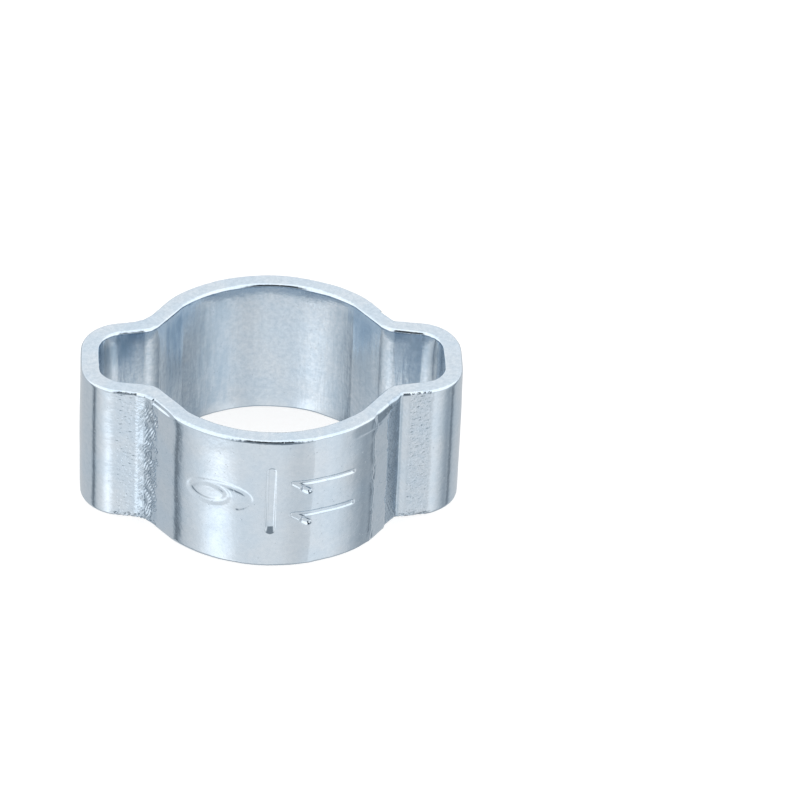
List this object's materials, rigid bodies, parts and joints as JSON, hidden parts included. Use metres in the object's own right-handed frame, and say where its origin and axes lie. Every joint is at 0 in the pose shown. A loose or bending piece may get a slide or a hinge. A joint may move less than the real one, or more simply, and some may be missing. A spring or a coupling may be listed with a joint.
{
  "type": "double ear hose clamp",
  "caption": "Round steel band with a hollow ear on opposite sides; squeezing the ears at their necks draws the band tight on a hose.",
  "frame": {"origin": "centre of the bore at the lower rim", "axes": "+Z along the bore's axis, +X through the middle of one ear, +Y across the band between the ears"},
  "size_m": [0.0172, 0.0128, 0.007],
  "materials": {
    "zinc_plated_steel": "bright zinc plating with a cool blue tint, smooth on the band, rougher where the forming jaws pressed"
  },
  "bodies": {
    "root": {"clamp_band": "zinc_plated_steel"}
  },
  "joints": []
}
